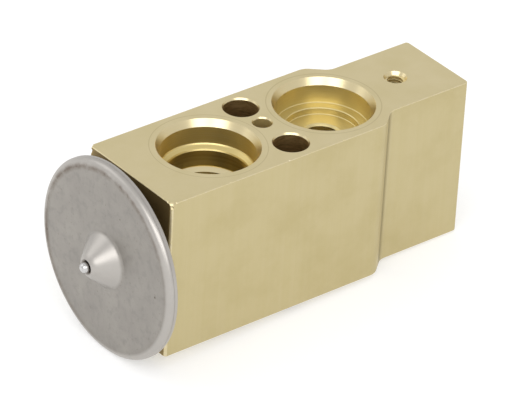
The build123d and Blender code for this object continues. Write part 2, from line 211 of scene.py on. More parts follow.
def write_mesh(name, points, faces, smooth_angle=35.0):
    """Object from points in millimetres and faces; edges sharper than smooth_angle stay crisp."""
    mesh = bpy.data.meshes.new(name)
    mesh.from_pydata((np.asarray(points, float) * MM).tolist(), [], faces)
    tidy = bmesh.new()
    tidy.from_mesh(mesh)
    bmesh.ops.remove_doubles(tidy, verts=tidy.verts, dist=1e-7)
    bmesh.ops.recalc_face_normals(tidy, faces=tidy.faces)
    tidy.to_mesh(mesh)
    tidy.free()
    mesh.shade_smooth()
    mesh.set_sharp_from_angle(angle=np.radians(smooth_angle))
    piece = bpy.data.objects.new(name, mesh)
    bpy.context.scene.collection.objects.link(piece)
    return piece


def grid_faces(rows, columns, wrap_rows=False, wrap_columns=True):
    """Quads of a rows by columns grid, joined up along the sides that wrap."""
    row = np.arange(rows if wrap_rows else rows - 1)[:, None]
    column = np.arange(columns if wrap_columns else columns - 1)[None, :]
    next_row = (row + 1) % rows
    next_column = (column + 1) % columns
    corners = (
        row * columns + column,
        row * columns + next_column,
        next_row * columns + next_column,
        next_row * columns + column,
    )
    return np.stack(np.broadcast_arrays(*corners), -1).reshape(-1, 4).tolist()


def rounded(points, radius, steps=3, closed=True):
    """Polyline with each corner replaced by an arc: the arc touches both runs at
    radius * tan(turn / 2) from the corner, and never takes over 0.45 of a run."""
    points = np.asarray(points, float)
    count = len(points)
    radii = np.broadcast_to(np.asarray(radius, float), (count,))
    out = []
    for index in range(count):
        here = points[index]
        if radii[index] <= 0 or (not closed and index in (0, count - 1)):
            out.append(here)
            continue
        back = points[index - 1] - here
        ahead = points[(index + 1) % count] - here
        back_length, ahead_length = np.hypot(*back), np.hypot(*ahead)
        back, ahead = back / back_length, ahead / ahead_length
        turn = np.pi - np.arccos(np.clip(back @ ahead, -1, 1))
        reach = min(radii[index] * np.tan(turn / 2), 0.45 * back_length, 0.45 * ahead_length)
        arc_r = reach / np.tan(turn / 2)
        centre = here + (back + ahead) / np.linalg.norm(back + ahead) * arc_r / np.cos(turn / 2)
        start, end = here + back * reach - centre, here + ahead * reach - centre
        share = np.linspace(0, 1, steps + 1)[:, None]
        arc = (np.sin((1 - share) * turn) * start + np.sin(share * turn) * end) / np.sin(turn)
        out.extend(centre + arc)
    return np.array(out)


def ring_points(along, radius, angle, place, axis):
    """point = place + along * axis + radius * (cos(angle) * side + sin(angle) * up)."""
    side = np.array([0.0, 1.0, 0.0])
    up = np.cross(axis, side)
    spoke = np.cos(angle)[..., None] * side + np.sin(angle)[..., None] * up
    return place + np.asarray(along)[..., None] * axis + np.asarray(radius)[..., None] * spoke


def lathe(name, profile, place, axis, steps=160, closed=False, smooth_angle=35.0):
    """Surface of revolution of a profile of (along, radius) pairs round an axis."""
    along, radius = np.asarray(profile, float).T
    angle = np.linspace(0, 2 * np.pi, steps, endpoint=False)[None, :]
    shape = (len(along), steps)
    points = ring_points(
        np.broadcast_to(along[:, None], shape),
        np.broadcast_to(radius[:, None], shape),
        np.broadcast_to(angle, shape),
        place,
        axis,
    )
    return write_mesh(name, points.reshape(-1, 3), grid_faces(*shape, wrap_rows=closed), smooth_angle)


def thread(name, start, length, crest_r, root_r, pitch, place, axis, steps=72):
    """Right-hand thread as a closed solid: along(k, t) = start + pitch * (k + t / 2 pi) and
    radius(k), which climbs from root to crest and back once in each pitch."""
    pitch_share = np.array([0.0, 0.12, 0.47, 0.65])
    pitch_radius = np.array([root_r, root_r, crest_r, crest_r])
    per_pitch = len(pitch_share)
    turns = int(np.ceil(length / pitch)) + 1
    along = (start + pitch * (np.arange(turns)[:, None] + pitch_share)).ravel()
    radius = np.tile(pitch_radius, turns)
    angle = np.linspace(0, 2 * np.pi, steps, endpoint=False)
    rows = len(along)
    shape = (rows, steps)
    points = ring_points(
        along[:, None] + pitch * angle / (2 * np.pi),
        np.broadcast_to(radius[:, None], shape),
        np.broadcast_to(angle, shape),
        place,
        axis,
    ).reshape(-1, 3)
    faces = grid_faces(rows, steps, wrap_columns=False)
    low = np.arange(rows - 1 - per_pitch)
    seam = [
        low * steps + steps - 1,
        (low + per_pitch) * steps,
        (low + 1 + per_pitch) * steps,
        (low + 1) * steps + steps - 1,
    ]
    faces += np.stack(seam, 1).tolist()
    first_loop = [*range(steps), *(row * steps for row in range(per_pitch, 0, -1))]
    last = (rows - 1) * steps
    last_loop = [*range(last, last + steps)]
    last_loop += [row * steps + steps - 1 for row in range(rows - 2, rows - 2 - per_pitch, -1)]
    for loop in (first_loop, last_loop):
        hub = len(points)
        points = np.vstack([points, place + axis * ((points[loop] - place) @ axis).mean()])
        faces += [[hub, loop[i - 1], loop[i]] for i in range(len(loop))]
    return write_mesh(name, points, faces)


def combine(piece, operation, tool):
    """Boolean of a piece with a tool shape, which keeps the tool's finish on its cut faces."""
    step = piece.modifiers.new(tool.name, "BOOLEAN")
    step.operation = operation
    step.object = tool
    step.solver = "EXACT"
    step.material_mode = "TRANSFER"


def settle(piece, tools=(), angle=35.0):
    """Keeps the evaluated shape as the piece's own mesh and drops its tool shapes."""
    graph = bpy.context.evaluated_depsgraph_get()
    mesh = bpy.data.meshes.new_from_object(piece.evaluated_get(graph))
    piece.modifiers.clear()
    piece.data = mesh
    mesh.shade_smooth()
    mesh.set_sharp_from_angle(angle=np.radians(angle))
    for tool in tools:
        bpy.data.objects.remove(tool)


def flatten_normals(piece):
    """Flat faces stay flat beside small roundings: normals weighted by face area."""
    finish = piece.modifiers.new("flat faces", "WEIGHTED_NORMAL")
    finish.keep_sharp = True
    finish.weight = 100


def hand_over(piece, body, slot, *nodes):
    """A finished piece rides on its body and stands for its nodes."""
    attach(piece, body)
    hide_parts(*nodes)
    return piece


# ---------------------------------------------------------------- materials


class Nodes:
    """Short hand for building one material's node tree."""

    def __init__(self, name):
        self.material = bpy.data.materials.new(name)
        self.material.use_nodes = True
        self.tree = self.material.node_tree
        self.shader = self.tree.nodes["Principled BSDF"]
        self.place = self.add("ShaderNodeTexCoord").outputs["Object"]

    def add(self, kind, inputs=None, **settings):
        node = self.tree.nodes.new(kind)
        for key, value in settings.items():
            setattr(node, key, value)
        for key, value in (inputs or {}).items():
            self.link(value, node.inputs[key])
        return node

    def link(self, value, socket):
        if isinstance(value, bpy.types.NodeSocket):
            self.tree.links.new(value, socket)
        else:
            socket.default_value = value

    def scaled(self, scale):
        """Object coordinates stretched by scale, per metre."""
        return self.add("ShaderNodeMapping", {"Vector": self.place, "Scale": scale}).outputs["Vector"]

    def noise(self, scale, detail=4.0, rough=0.55, vector=None):
        """Fractal noise, about 0 to 1, with scale features a metre."""
        inputs = {"Vector": vector or self.place, "Scale": scale, "Detail": detail, "Roughness": rough}
        return self.add("ShaderNodeTexNoise", inputs).outputs["Fac"]

    def ramp(self, value, low, high, to_low=0.0, to_high=1.0):
        """Straight ramp from to_low at low to to_high at high, held beyond both."""
        inputs = {0: value, 1: low, 2: high, 3: to_low, 4: to_high}
        return self.add("ShaderNodeMapRange", inputs).outputs[0]

    def math(self, operation, first, second=0.0):
        """Result of one math node."""
        return self.add("ShaderNodeMath", {0: first, 1: second}, operation=operation).outputs[0]

    def reach(self, place, mask):
        """Distance from place, given in millimetres, counted along the axes in mask."""
        offset = self.add(
            "ShaderNodeVectorMath",
            {0: self.place, 1: tuple(np.asarray(place, float) * MM)},
            operation="SUBTRACT",
        ).outputs[0]
        kept = self.add("ShaderNodeVectorMath", {0: offset, 1: mask}, operation="MULTIPLY").outputs[0]
        return self.add("ShaderNodeVectorMath", {0: kept}, operation="LENGTH").outputs["Value"]

    def band(self, distance, middle, half_width):
        """1 where distance equals middle, fading to 0 at half_width from it, in millimetres."""
        off = self.math("ABSOLUTE", self.math("SUBTRACT", distance, middle * MM))
        return self.ramp(off, 0.0, half_width * MM, 1.0, 0.0)

    def mix(self, share, first, second):
        node = self.add("ShaderNodeMix", data_type="RGBA")
        self.link(share, node.inputs[0])
        self.link(first, node.inputs[6])
        self.link(second, node.inputs[7])
        return node.outputs[2]

    def bump(self, height, strength, distance):
        inputs = {"Height": height, "Strength": strength, "Distance": distance}
        return self.add("ShaderNodeBump", inputs).outputs["Normal"]

    def finish(self, **sockets):
        for key, value in sockets.items():
            self.link(value, self.shader.inputs[key.replace("_", " ").title()])
        return self.material


def rgb(red, green, blue):
    return (red, green, blue, 1.0)


SKIN_GOLD = rgb(0.552, 0.474, 0.264)
SKIN_PALE = rgb(0.585, 0.507, 0.305)
SKIN_DEEP = rgb(0.500, 0.423, 0.215)
# painted shade for the slope of the S step
SKIN_STEP_SHADE = rgb(0.200, 0.165, 0.085)
MILLED_GOLD = rgb(0.650, 0.558, 0.320)
MILLED_PALE = rgb(0.690, 0.600, 0.372)
MILLED_DEEP = rgb(0.400, 0.325, 0.165)
MOUTH_GOLD = rgb(0.680, 0.575, 0.340)
RUBBED = rgb(0.680, 0.595, 0.400)
WALL_GOLD = rgb(0.650, 0.520, 0.215)
WALL_PALE = rgb(0.680, 0.565, 0.275)
WELL_GOLD = rgb(0.660, 0.550, 0.265)
WELL_PALE = rgb(0.690, 0.590, 0.310)
DEEP_GOLD = rgb(0.500, 0.370, 0.130)
REAMED_GOLD = rgb(0.740, 0.610, 0.300)
DRILLED_GOLD = rgb(0.360, 0.240, 0.090)
DRILLED_PALE = rgb(0.600, 0.420, 0.190)
# painted shade for the end face under the power head
END_SHADE_DARK = rgb(0.300, 0.215, 0.095)
END_SHADE_PALE = rgb(0.360, 0.270, 0.120)


def extruded_skin():
    """Yellow chromate over an extruded side: faint draw lines run along the height, and painted shade
    darkens the slope of the S step near its inside corner, on the tail side."""
    mat = Nodes("extruded_chromate")
    lines = mat.noise(1.0, 6.0, 0.7, mat.scaled((900, 900, 6)))
    cloud = mat.noise(95.0, 5.0, 0.6)
    grain = mat.noise(5200.0, 2.0, 0.5)
    # painted shade: a band just past the middle of the S step, on its tail side only
    step_shade = mat.band(mat.reach((STEP_MID, 0, 0), (1, 0, 0)), STEP_SHADE_OFFSET, STEP_SHADE_WIDTH)
    tail_side = mat.ramp(mat.reach((HEAD_END, 0, 0), (1, 0, 0)), STEP_FROM_END, STEP_FROM_END + 1e-5)
    tone = mat.mix(mat.ramp(lines, 0.3, 0.7, 0.0, 0.5), SKIN_GOLD, SKIN_PALE)
    tone = mat.mix(mat.ramp(cloud, 0.45, 0.75, 0.0, 0.5), tone, SKIN_DEEP)
    share = mat.math("MULTIPLY", mat.math("MULTIPLY", step_shade, tail_side), 0.62)
    tone = mat.mix(share, tone, SKIN_STEP_SHADE)
    height = mat.math("ADD", mat.math("MULTIPLY", lines, 0.5), mat.math("MULTIPLY", grain, 0.3))
    rough = mat.ramp(cloud, 0.3, 0.7, 0.44, 0.54)
    return mat.finish(
        base_color=tone, metallic=1.0, roughness=rough, normal=mat.bump(height, 0.15, 0.00004)
    )


def milled_face():
    """Yellow chromate over a milled face: even grain, with a faint cutter ring round each port."""
    mat = Nodes("milled_chromate")
    cloud = mat.noise(140.0, 5.0, 0.6)
    grain = mat.noise(4200.0, 3.0, 0.6)
    rings = mat.math(
        "MAXIMUM",
        mat.band(mat.reach((SUCTION_X, 0, 0), (1, 1, 0)), PORT_R + 2.1, 0.14),
        mat.band(mat.reach((LIQUID_X, 0, 0), (1, 1, 0)), PORT_R + 1.95, 0.18),
    )
    tone = mat.mix(mat.ramp(cloud, 0.35, 0.7), MILLED_GOLD, MILLED_PALE)
    tone = mat.mix(mat.math("MULTIPLY", rings, 0.45), tone, MILLED_DEEP)
    rough = mat.ramp(cloud, 0.3, 0.7, 0.40, 0.50)
    height = mat.math("SUBTRACT", mat.math("MULTIPLY", grain, 0.4), rings)
    return mat.finish(
        base_color=tone, metallic=1.0, roughness=rough, normal=mat.bump(height, 0.3, 0.00004)
    )


def rubbed_edge():
    """Edges and knocks where the coat is rubbed thin: paler, and a little uneven."""
    mat = Nodes("rubbed_chromate")
    patches = mat.noise(1300.0, 4.0, 0.6)
    tone = mat.mix(mat.ramp(patches, 0.4, 0.65), RUBBED, MILLED_GOLD)
    return mat.finish(
        base_color=tone, metallic=1.0, roughness=0.42, normal=mat.bump(patches, 0.5, 0.00008)
    )


def shaded_end_face():
    """The end face under the power head: chromate darkened with painted shade from the head over it;
    dull, never polished.
    """
    mat = Nodes("end_face_painted_shade")
    cloud = mat.noise(160.0, 5.0, 0.6)
    tone = mat.mix(mat.ramp(cloud, 0.3, 0.7), END_SHADE_DARK, END_SHADE_PALE)
    return mat.finish(base_color=tone, metallic=1.0, roughness=0.5)


def bored_wall(name, gold, pale, roughness):
    """Turned bore under chromate: gold and satin, with fine rings round it."""
    mat = Nodes(name)
    rings = mat.noise(1.0, 3.0, 0.7, mat.scaled((40, 40, 6000)))
    tone = mat.mix(mat.ramp(rings, 0.35, 0.65), gold, pale)
    return mat.finish(
        base_color=tone, metallic=1.0, roughness=roughness, normal=mat.bump(rings, 0.2, 0.00001)
    )


def countersunk_mouth():
    """Turned chamfer at a hole's mouth: pale and brighter than the wall below it."""
    mat = Nodes("countersunk_chromate")
    rings = mat.noise(1.0, 3.0, 0.7, mat.scaled((40, 40, 5000)))
    tone = mat.mix(mat.ramp(rings, 0.35, 0.65), MOUTH_GOLD, MILLED_PALE)
    return mat.finish(
        base_color=tone, metallic=1.0, roughness=0.28, normal=mat.bump(rings, 0.15, 0.00001)
    )


def reamed_hole():
    """Small reamed or tapped hole: bright gold that light reaches well."""
    mat = Nodes("reamed_chromate")
    return mat.finish(base_color=REAMED_GOLD, metallic=0.8, roughness=0.34)


def drilled_wall():
    """Drilled screw hole: rough, deep brown gold with streaks from the drill."""
    mat = Nodes("drilled_chromate")
    streaks = mat.noise(1.0, 4.0, 0.7, mat.scaled((500, 500, 2600)))
    tone = mat.mix(mat.ramp(streaks, 0.35, 0.65), DRILLED_GOLD, DRILLED_PALE)
    return mat.finish(
        base_color=tone, metallic=0.94, roughness=0.42, normal=mat.bump(streaks, 0.6, 0.00006)
    )


FACE_STEEL = rgb(0.285, 0.266, 0.243)
FACE_STEEL_PALE = rgb(0.362, 0.340, 0.308)
FACE_STEEL_GREY = rgb(0.235, 0.222, 0.205)
# drawn metal with a painted sheen, for the rolled rim and the dome
DRAWN_STEEL_AND_SHEEN = rgb(0.520, 0.495, 0.465)
HEAT_TINT = rgb(0.135, 0.098, 0.070)
WELD_TINT = rgb(0.085, 0.062, 0.042)


def pressed_steel():
    """Pressed stainless sheet, satin and mottled, lighter on the rolled rim and the dome, where drawn
    metal carries a painted sheen, with brown heat tint along the rim and round the ball, and a few pits."""
    mat = Nodes("pressed_stainless")
    cloud = mat.noise(150.0, 6.0, 0.62)
    patches = mat.noise(520.0, 4.0, 0.6)
    specks = mat.noise(1900.0, 2.0, 0.5)
    grain = mat.noise(3600.0, 3.0, 0.6)
    from_axis = mat.reach(VALVE_AXIS, (0, 1, 1))
    rim_from = (HEAD_R - RIM_ROLL) * MM
    # lighter rim and dome: drawn metal, and a painted sheen where they catch the light
    drawn_and_sheen = mat.math(
        "MAXIMUM",
        mat.ramp(from_axis, rim_from - 0.1 * MM, rim_from + 0.5 * MM),
        mat.ramp(from_axis, (DOME_R - 0.5) * MM, DOME_R * MM, 1.0, 0.0),
    )
    far_side = mat.ramp(
        mat.reach((0, -HEAD_R, AXIS_Z - HEAD_R), (0, 1, 1)), HEAD_R * MM, 2.0 * HEAD_R * MM, 0.12, 1.0
    )
    tint = mat.math(
        "MULTIPLY",
        mat.math("MULTIPLY", mat.band(from_axis, HEAD_R - RIM_ROLL - 0.1, 0.9), far_side),
        mat.ramp(mat.noise(330.0, 6.0, 0.7), 0.36, 0.6),
    )
    tone = mat.mix(mat.ramp(cloud, 0.3, 0.72), FACE_STEEL, FACE_STEEL_PALE)
    tone = mat.mix(mat.ramp(patches, 0.5, 0.8, 0.0, 0.7), tone, FACE_STEEL_GREY)
    tone = mat.mix(mat.ramp(specks, 0.66, 0.76, 0.0, 0.35), tone, HEAT_TINT)
    tone = mat.mix(mat.math("MULTIPLY", drawn_and_sheen, 0.65), tone, DRAWN_STEEL_AND_SHEEN)
    tone = mat.mix(mat.math("MULTIPLY", tint, 0.8), tone, HEAT_TINT)
    tone = mat.mix(mat.band(from_axis, 1.15, 0.5), tone, WELD_TINT)
    for side, height, size in ((-16.0, 17.6, 0.34), (18.6, 14.8, 0.3), (-4.3, 29.0, 0.2)):
        pit = mat.ramp(mat.reach((0, side, height), (0, 1, 1)), 0.3 * size * MM, size * MM, 0.8, 0.0)
        tone = mat.mix(pit, tone, WELD_TINT)
    rough = mat.ramp(cloud, 0.3, 0.7, 0.34, 0.44)
    return mat.finish(
        base_color=tone, metallic=1.0, roughness=rough, normal=mat.bump(grain, 0.15, 0.00003)
    )


def turned_metal(name, color, roughness):
    """Turned inner piece: one colour with fine turning rings along the valve axis."""
    mat = Nodes(name)
    rings = mat.noise(1.0, 3.0, 0.6, mat.scaled((6000, 60, 60)))
    dark = rgb(*(0.82 * channel for channel in color))
    tone = mat.mix(mat.ramp(rings, 0.35, 0.65), rgb(*color), dark)
    return mat.finish(
        base_color=tone, metallic=1.0, roughness=roughness, normal=mat.bump(rings, 0.2, 0.00002)
    )


def seal_rubber():
    """Dull black nitrile with a light bloom."""
    mat = Nodes("seal_rubber")
    bloom = mat.noise(900.0, 4.0, 0.6)
    tone = mat.mix(mat.ramp(bloom, 0.4, 0.7), rgb(0.012, 0.013, 0.012), rgb(0.030, 0.031, 0.029))
    return mat.finish(base_color=tone, roughness=0.6, normal=mat.bump(bloom, 0.1, 0.00003))


SKIN = extruded_skin()
MILLED = milled_face()
END_SHADE = shaded_end_face()
RUBBED_EDGE = rubbed_edge()
BORED = bored_wall("bored_chromate", WALL_GOLD, WALL_PALE, 0.38)
LIQUID_BORE = bored_wall("liquid_bore_chromate", WELL_GOLD, WELL_PALE, 0.4)
DEEP_BORE = bored_wall("deep_bore_chromate", DEEP_GOLD, WALL_GOLD, 0.34)
COUNTERSUNK = countersunk_mouth()
REAMED = reamed_hole()
DRILLED = drilled_wall()
STEEL = pressed_steel()
BRIGHT = turned_metal("bright_steel", (0.62, 0.61, 0.60), 0.2)
TURNED = turned_metal("turned_aluminium", (0.72, 0.72, 0.72), 0.3)
BRASS = turned_metal("turned_brass", (0.72, 0.52, 0.23), 0.28)
RUBBER = seal_rubber()

# ---------------------------------------------------------------- block


def block_plan():
    """Plan of the extrusion: straight sides with an S step down to the tail. The step's
    straight run slopes by STEP_SLOPE and meets both sides in arcs of radius STEP_R."""
    reach = (HALF_WIDTH - HALF_TAIL) / 2 / np.tan(STEP_SLOPE)
    half = np.array(
        [
            (HEAD_END, HALF_WIDTH),
            (STEP_MID - reach, HALF_WIDTH),
            (STEP_MID + reach, HALF_TAIL),
            (FAR_END, HALF_TAIL),
        ]
    )
    corners = np.concatenate([half, half[::-1] * (1, -1)])
    return rounded(corners, [CORNER_R, STEP_R, STEP_R, CORNER_R] * 2, steps=8)


def block_blank():
    """Uncut block: point(row, k) = plan(k) + inset(row) * inward(k) at height(row). Its top and
    bottom edges are quarter circles, inset = r (1 - cos t) and height = r (1 - sin t)."""
    plan = block_plan()
    run = np.roll(plan, -1, 0) - np.roll(plan, 1, 0)
    inward = np.stack([run[:, 1], -run[:, 0]], 1) / np.hypot(*run.T)[:, None]
    turn = np.linspace(np.pi / 2, 0, 4)
    inset = EDGE_R * (1 - np.cos(turn))
    height = EDGE_R * (1 - np.sin(turn))
    inset = np.concatenate([inset, inset[::-1]])
    height = np.concatenate([height, TOP - height[::-1]])
    rows, count = len(inset), len(plan)
    flat = plan + inset[:, None, None] * inward
    points = np.dstack([flat, np.broadcast_to(height[:, None], (rows, count))]).reshape(-1, 3)
    faces = grid_faces(rows, count)
    faces += [list(range(count)), list(range((rows - 1) * count, rows * count))]
    block = write_mesh("block", points, faces)
    for material in (SKIN, MILLED, END_SHADE, RUBBED_EDGE):
        block.data.materials.append(material)
    normals = np.array([face.normal for face in block.data.polygons])
    level = np.abs(normals[:, 2])
    finish = np.where(level > 0.95, 1, 0)
    finish[normals[:, 0] > 0.9] = 1
    # the end face towards the power head takes the painted shade finish
    finish[normals[:, 0] < -0.9] = 2
    corner = (level < 0.1) & (normals[:, 0] < -0.15) & (normals[:, 0] > -0.9)
    finish[((level > 0.1) & (level < 0.95)) | corner] = 3
    block.data.polygons.foreach_set("material_index", finish.astype(np.int32))
    return block


def tool(name, profile, place, axis, finish, round_r=0.0, steps=160):
    """Lathed tool shape for a cut; its inner corners are eased by round_r."""
    radii = np.full(len(profile), round_r)
    radii[[0, 1, -2, -1]] = 0
    shape = lathe(name, rounded(profile, radii, closed=False), place, axis, steps)
    shape.data.materials.append(finish)
    return shape


def repaint(shape, finish, low, high):
    """Gives another finish to the faces of a tool whose middles lie between two heights."""
    faces = shape.data.polygons
    middles, slots = np.empty(3 * len(faces)), np.empty(len(faces), np.int32)
    faces.foreach_get("center", middles)
    faces.foreach_get("material_index", slots)
    height = middles[2::3] / MM
    slots[(height > low) & (height < high)] = len(shape.data.materials)
    shape.data.materials.append(finish)
    faces.foreach_set("material_index", slots)


def countersink(name, place, radius, chamfer, depth, side=1):
    """Cone that opens a hole's mouth, on the line side or, with side -1, on the evaporator
    side: its radius is radius + chamfer at the face and radius at depth below the face."""
    face = TOP if side > 0 else 0.0
    overrun = 0.2
    profile = [
        (face + side, 0.0),
        (face + side, radius + chamfer * (1 + 1 / depth)),
        (face - side * depth * (1 + overrun), radius - overrun * chamfer),
        (face - side * depth * (1 + overrun), 0.0),
    ]
    return tool(name, profile, (*place, 0), UPRIGHT, COUNTERSUNK)


def mouth_tools():
    """Chamfers at the mouths of the four ports and of the screw holes."""
    suction, liquid, tapped = (SUCTION_X, 0), (LIQUID_X, 0), hole("pipe_plate_thread")
    yield countersink("suction_mouth", suction, PORT_R, MOUTH_CHAMFER, MOUTH_DEPTH)
    yield countersink("liquid_mouth", liquid, PORT_R, MOUTH_CHAMFER, MOUTH_DEPTH)
    yield countersink("inlet_mouth", suction, PORT_R, REAR_CHAMFER, REAR_CHAMFER, -1)
    yield countersink("outlet_mouth", liquid, PORT_R, REAR_CHAMFER, REAR_CHAMFER, -1)
    for name, side in (("front", -1), ("back", 1)):
        place = (0, side * CLAMP_Y)
        yield countersink(f"{name}_clamp_mouth", place, CLAMP_R, CLAMP_CHAMFER, CLAMP_BREAK)
        yield countersink(f"{name}_clamp_exit", place, CLAMP_R, CLAMP_CHAMFER, CLAMP_BREAK, -1)
    x, y, radius = hole("locating_hole")
    yield countersink("locating_mouth", (x, y), radius, LOCATING_CHAMFER, LOCATING_BREAK)
    yield countersink("tapped_mouth", tapped[:2], tapped[2], TAPPED_LEAD, TAPPED_BREAK)


def port_tools():
    """Both line-side sockets, stepped, and both evaporator-side sockets, plain."""
    lip, neck = TOP - SUCTION_LIP_DEPTH, TOP - SUCTION_NECK_DEPTH
    seat = neck - SUCTION_SEAT_DEPTH
    suction = [
        (TOP + 2, 0.0),
        (TOP + 2, PORT_R),
        (TOP - SUCTION_SOCKET, PORT_R),
        *((TOP - depth, PORT_R - inset) for inset, depth in (SUCTION_STEP, SUCTION_LAND, SUCTION_LIP)),
        (lip, SUCTION_NECK_R),
        (neck, SUCTION_NECK_R),
        (neck, SUCTION_NECK_R - SUCTION_SEAT_INSET),
        (seat, SUCTION_WAY_R),
        (INLET_SOCKET, SUCTION_WAY_R),
        (INLET_SOCKET, PORT_R),
        (-2.0, PORT_R),
        (-2.0, 0.0),
    ]
    ledge, floor = TOP - LIQUID_SOCKET, TOP - LIQUID_WELL_DEPTH
    way_end = AXIS_Z + ORIFICE_R + 1.6
    liquid = [
        (TOP + 2, 0.0),
        (TOP + 2, PORT_R),
        (ledge + LIQUID_CORNER, PORT_R),
        (ledge, PORT_R - LIQUID_CORNER),
        (ledge, LIQUID_WELL_R + LIQUID_WELL_BREAK),
        (ledge - LIQUID_WELL_BREAK, LIQUID_WELL_R),
        (floor + LIQUID_CORNER, LIQUID_WELL_R),
        (floor, LIQUID_WELL_R - LIQUID_CORNER),
        (floor, LIQUID_WAY_R + LIQUID_WAY_CHAMFER),
        (floor - LIQUID_WAY_CHAMFER, LIQUID_WAY_R),
        (way_end, LIQUID_WAY_R),
        (way_end, 0.0),
    ]
    outlet = [
        (-2.0, 0.0),
        (-2.0, PORT_R),
        (OUTLET_SOCKET, PORT_R),
        (OUTLET_SOCKET, 0.0),
    ]
    outlet_way = [
        (OUTLET_SOCKET - 1, 0.0),
        (OUTLET_SOCKET - 1, OUTLET_WAY_R),
        (OUTLET_WAY_TOP, OUTLET_WAY_R),
        (OUTLET_WAY_TOP, 0.0),
    ]
    suction_place, liquid_place = (SUCTION_X, 0, 0), (LIQUID_X, 0, 0)
    way = tool("suction_way", suction, suction_place, UPRIGHT, BORED)
    repaint(way, DEEP_BORE, neck, lip)
    repaint(way, COUNTERSUNK, seat, neck)
    yield way
    yield tool("liquid_inlet", liquid, liquid_place, UPRIGHT, LIQUID_BORE, 0.04)
    yield tool("liquid_outlet", outlet, liquid_place, UPRIGHT, BORED)
    yield tool("outlet_way", outlet_way, (OUTLET_WAY_X, 0, 0), UPRIGHT, DRILLED, steps=64)


def drill(name, x, y, radius, depth, finish):
    """Blind hole with the cone that a drill's point leaves."""
    profile = [
        (TOP + 2.0, 0.0),
        (TOP + 2.0, radius),
        (TOP - depth, radius),
        (TOP - depth - radius / np.tan(DRILL_HALF_POINT), 0.0),
    ]
    return tool(name, profile, (x, y, 0), UPRIGHT, finish, steps=96)


def screw_hole_tools():
    """Clamp holes right through, the blind locating hole and the tapped hole with its thread."""
    through = [(-2.0, 0.0), (-2.0, CLAMP_R), (TOP + 2.0, CLAMP_R), (TOP + 2.0, 0.0)]
    for name, side in (("front_clamp_hole", -1), ("back_clamp_hole", 1)):
        yield tool(name, through, (0, side * CLAMP_Y, 0), UPRIGHT, DRILLED, steps=96)
    yield drill("locating_hole", *hole("locating_hole"), LOCATING_DEPTH, REAMED)
    x, y, radius = hole("pipe_plate_thread")
    root_r = radius - THREAD_DEPTH_SHARE * TAPPED_PITCH
    yield drill("tapped_hole", x, y, root_r, TAPPED_DEPTH, REAMED)
    cut = thread(
        "pipe_plate_thread",
        TOP - TAPPED_DEPTH + 0.5,
        TAPPED_DEPTH,
        radius,
        root_r - THREAD_ROOT_OVERLAP,
        TAPPED_PITCH,
        np.array([x, y, 0.0]),
        UPRIGHT,
    )
    cut.data.materials.append(REAMED)
    yield cut


def valve_bore_tools():
    """Cuts along the valve axis: head bore, rod and pin bores, spring chamber, adjuster thread."""
    head_bore = [
        (HEAD_END - 1, 0.0),
        (HEAD_END - 1, NECK_R + SEAL_CORNER + 1),
        (HEAD_END + SEAL_CORNER, NECK_R),
        (NECK_BORE_END, NECK_R),
        (NECK_BORE_END, NECK_BORE_R),
        (SUCTION_X, NECK_BORE_R),
        (SUCTION_X, 0.0),
    ]
    chamber = [
        (SUCTION_X, 0.0),
        (SUCTION_X, ROD_POCKET_R),
        (ROD_POCKET_END, ROD_POCKET_R),
        (ROD_POCKET_END, ROD_BORE_R),
        (ROD_BORE_END, ROD_BORE_R),
        (ROD_BORE_END, PIN_BORE_R),
        (OUTLET_WAY_X, PIN_BORE_R),
        (OUTLET_WAY_X, ORIFICE_R),
        (SEAT_X, ORIFICE_R),
        (SEAT_X, CHAMBER_R),
        (FAR_END - SCREW_MOUTH, CHAMBER_R),
        (FAR_END - SCREW_MOUTH, SCREW_BORE_R),
        (FAR_END + SCREW_MOUTH, SCREW_BORE_R + 2 * SCREW_MOUTH),
        (FAR_END + SCREW_MOUTH, 0.0),
    ]
    yield tool("head_bore", head_bore, VALVE_AXIS, ALONG, BORED)
    yield tool("spring_chamber", chamber, VALVE_AXIS, ALONG, BORED)
    thread_depth = THREAD_DEPTH_SHARE * SCREW_PITCH
    cut = thread(
        "adjuster_thread",
        SCREW_BORE_START,
        FAR_END - SCREW_BORE_START,
        SCREW_BORE_R,
        SCREW_BORE_R - thread_depth,
        SCREW_PITCH,
        VALVE_AXIS,
        ALONG,
        steps=144,
    )
    cut.data.materials.append(BORED)
    yield cut


def worn_spots():
    """Knocks on the block's edges and head-end corners: balls that nick the metal."""
    front, back, end = -HALF_WIDTH, HALF_WIDTH, HEAD_END
    for index, (x, y, z, radius, finish) in enumerate(
        (
            # centre x, y, z, radius and finish of each ball
            # the first nick, on the head end, takes the end face's painted shade
            (end - 0.2, back - 0.2, TOP - 1.3, 0.9, END_SHADE),
            (end, back + 0.1, TOP + 0.1, 0.85, RUBBED_EDGE),
            (end - 0.15, front - 0.15, TOP + 0.15, 0.95, RUBBED_EDGE),
            (end + 0.1, front - 0.1, TOP - 0.9, 0.5, RUBBED_EDGE),
            (end + 1.1, front - 0.15, TOP + 0.1, 0.4, RUBBED_EDGE),
            (end - 0.15, front + 1.1, TOP + 0.1, 0.42, RUBBED_EDGE),
            (end - 0.1, front + 2.6, TOP + 0.12, 0.34, RUBBED_EDGE),
            (end - 0.1, front + 4.4, TOP + 0.1, 0.3, RUBBED_EDGE),
            (-19.0, front - 0.12, TOP + 0.1, 0.32, RUBBED_EDGE),
            (-4.5, front - 0.12, TOP + 0.1, 0.36, RUBBED_EDGE),
            (9.0, front - 0.1, TOP + 0.1, 0.3, RUBBED_EDGE),
        )
    ):
        turn = np.linspace(0, np.pi, 9)
        profile = np.column_stack([-radius * np.cos(turn), radius * np.sin(turn)])
        knock = lathe(f"knock_{index}", profile, (x, y, z), UPRIGHT, 20)
        knock.data.materials.append(finish)
        yield knock


